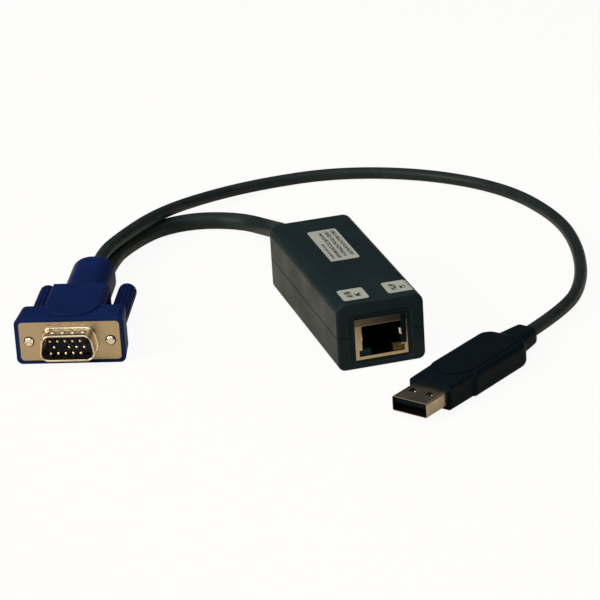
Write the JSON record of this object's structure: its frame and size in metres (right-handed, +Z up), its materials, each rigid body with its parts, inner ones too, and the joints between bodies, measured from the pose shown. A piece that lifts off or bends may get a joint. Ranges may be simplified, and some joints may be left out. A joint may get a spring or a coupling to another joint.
{
  "type": "kvm dongle",
  "caption": "Small black box with a network jack and two status lamps, on a captive forked lead that ends in a blue video plug with thumbscrews and a flat USB plug.",
  "frame": {"origin": "centre of the underside of the box, on the surface it rests on; the plugs and leads lie on the same surface", "axes": "+Z up, -Y out of the jack, +Y along the box towards the lead, +X to the right seen from the jack"},
  "size_m": [0.1925, 0.2102, 0.0215],
  "materials": {
    "housing": "fine satin texture, dark teal black",
    "board": "green solder mask",
    "chip": "matt black package",
    "can": "bright can",
    "ceramic_part": "plain ceramic chip",
    "nylon": "natural nylon",
    "screw_steel": "black zinc",
    "wire": "coloured core insulation",
    "grommet_rubber": "matt",
    "shield_steel": "tin plated sheet",
    "jack_plastic": "matt black",
    "gold": "gold flash",
    "lamp_green": "tinted diffusing",
    "lamp_yellow": "tinted diffusing",
    "label": "smooth white film, blank",
    "cable_jacket": "satin PVC",
    "hood_blue": "satin navy",
    "knob_blue": "satin navy",
    "nickel": "warm nickel plate",
    "insulator": "matt black",
    "inner_mould": "natural polyethylene",
    "screw_nickel": "nickel plate",
    "usb_black": "satin dark grey black",
    "usb_steel": "bright plate"
  },
  "bodies": {
    "dongle": {"upper_shell": "housing", "lower_shell": "housing", "housing_screws": "screw_steel", "circuit_board": "board", "controller_chip": "chip", "driver_chip": "chip", "crystal_can": "can", "bulk_capacitor": "can", "chip_capacitors": "ceramic_part", "wire_header": "nylon", "inner_wires": "wire", "cable_grommet": "grommet_rubber", "cable_tie": "nylon", "jack_shield": "shield_steel", "jack_body": "jack_plastic", "jack_contacts": "gold", "lamp_green": "lamp_green", "lamp_yellow": "lamp_yellow", "spec_label": "label", "port_label_left": "label", "port_label_right": "label", "video_cable": "cable_jacket", "usb_cable": "cable_jacket", "video_hood": "hood_blue", "video_front_shell": "nickel", "video_rear_shell": "nickel", "video_insulator": "insulator", "video_pins": "gold", "video_mould": "inner_mould", "usb_overmould": "usb_black", "usb_mould": "inner_mould", "usb_shell": "usb_steel", "usb_tongue": "insulator", "usb_contacts": "gold"},
    "thumbscrew_left": {"screw_left": "screw_nickel", "knob_left": "knob_blue"},
    "thumbscrew_right": {"screw_right": "screw_nickel", "knob_right": "knob_blue"}
  },
  "joints": [
    {"name": "thumbscrew_left_turn", "type": "hinge", "parent": "dongle", "child": "thumbscrew_left", "pos_m": [-0.09088, 0.02609, 0.0074], "axis": [0.3551, 0.9348, 0], "continuous": true},
    {"name": "thumbscrew_right_turn", "type": "hinge", "parent": "dongle", "child": "thumbscrew_right", "pos_m": [-0.06751, 0.01721, 0.0074], "axis": [0.3551, 0.9348, 0], "continuous": true}
  ]
}
